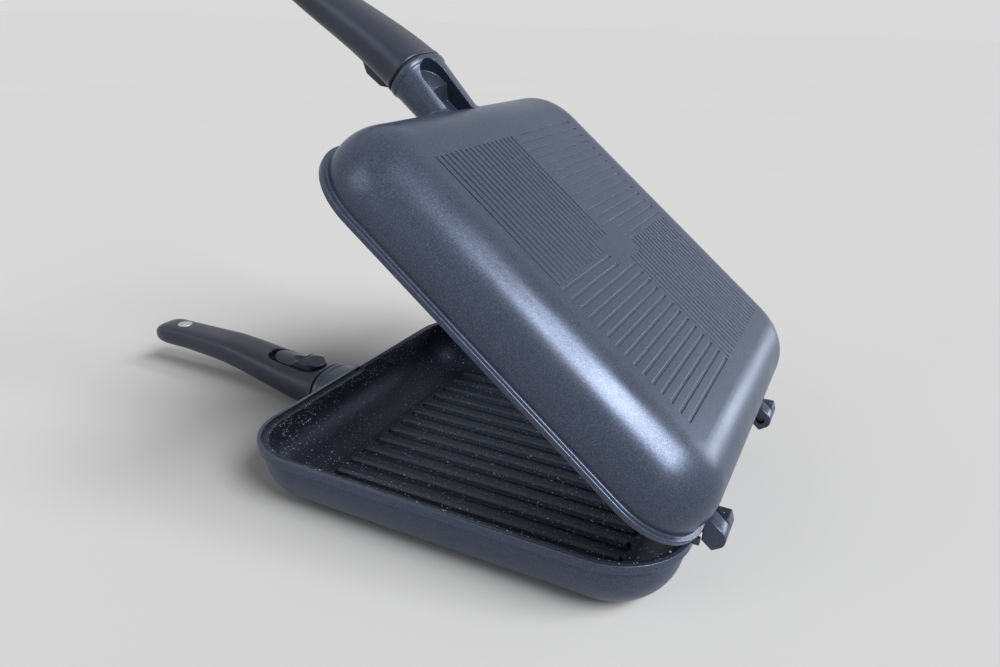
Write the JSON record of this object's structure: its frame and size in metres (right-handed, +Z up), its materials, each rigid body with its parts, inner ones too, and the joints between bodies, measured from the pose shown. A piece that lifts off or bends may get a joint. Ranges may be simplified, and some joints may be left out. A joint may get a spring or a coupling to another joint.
{
  "type": "double sided flip pan",
  "caption": "Hinged pair of identical ribbed frying pans with detachable handles, thumb buttons and magnets in the handle ends, standing open.",
  "frame": {"origin": "centre of the lower pan's base, on the surface it stands on", "axes": "+Z up; +X from the handles to the hinge; the hinge axis runs along +Y"},
  "size_m": [0.5057, 0.272, 0.3642],
  "materials": {
    "pan": "satin blue-grey paint outside, black speckled non-stick coating inside",
    "grip": "satin moulded resin",
    "button": "satin",
    "slider": "matte",
    "seal": "matte",
    "steel": "brushed",
    "spring_steel": "drawn wire",
    "magnet": "nickel plated"
  },
  "bodies": {
    "lower_half": {"lower_pan": "pan", "lower_grip": "grip", "lower_ring": "seal", "lower_frame": "steel", "lower_frame_screw": "steel", "lower_catch_pin": "steel", "lower_catch_spring": "spring_steel", "lower_button_spring": "spring_steel", "lower_magnet": "magnet", "near_hinge_pin": "steel"},
    "upper_half": {"upper_pan": "pan", "upper_grip": "grip", "upper_ring": "seal", "upper_frame": "steel", "upper_frame_screw": "steel", "upper_catch_pin": "steel", "upper_catch_spring": "spring_steel", "upper_button_spring": "spring_steel", "upper_magnet": "magnet", "far_hinge_pin": "steel"},
    "lower_thumb_button": {"lower_button": "button", "lower_slider": "slider"},
    "upper_thumb_button": {"upper_button": "button", "upper_slider": "slider"},
    "lower_latch": {"lower_catch": "steel"},
    "upper_latch": {"upper_catch": "steel"}
  },
  "joints": [
    {"name": "pan_hinge", "type": "hinge", "parent": "lower_half", "child": "upper_half", "pos_m": [0.149, 0, 0.041], "axis": [0, 1, 0], "range_deg": [-38.5, 141.5]},
    {"name": "lower_button_slide", "type": "slide", "parent": "lower_half", "child": "lower_thumb_button", "axis": [-1, 0, 0], "range_m": [0, 0.005], "stiffness_N_per_m": 300, "springref_m": -0.003, "deforming": ["lower_button_spring"]},
    {"name": "upper_button_slide", "type": "slide", "parent": "upper_half", "child": "upper_thumb_button", "axis": [-0.7826, 0, 0.6225], "range_m": [0, 0.005], "stiffness_N_per_m": 300, "springref_m": -0.003, "deforming": ["upper_button_spring"]},
    {"name": "lower_catch_pivot", "type": "hinge", "parent": "lower_half", "child": "lower_latch", "pos_m": [-0.2062, 0, 0.0184], "axis": [0, 1, 0], "range_deg": [0, 4.2], "deforming": ["lower_catch_spring"]},
    {"name": "upper_catch_pivot", "type": "hinge", "parent": "upper_half", "child": "upper_latch", "pos_m": [-0.11491, 0, 0.2798], "axis": [0, -1, 0], "range_deg": [0, 4.2], "deforming": ["upper_catch_spring"]}
  ],
  "couplings": [
    {"joint": "lower_catch_pivot", "follows": "lower_button_slide", "rad_per_m": 14.661},
    {"joint": "upper_catch_pivot", "follows": "upper_button_slide", "rad_per_m": 14.661}
  ]
}
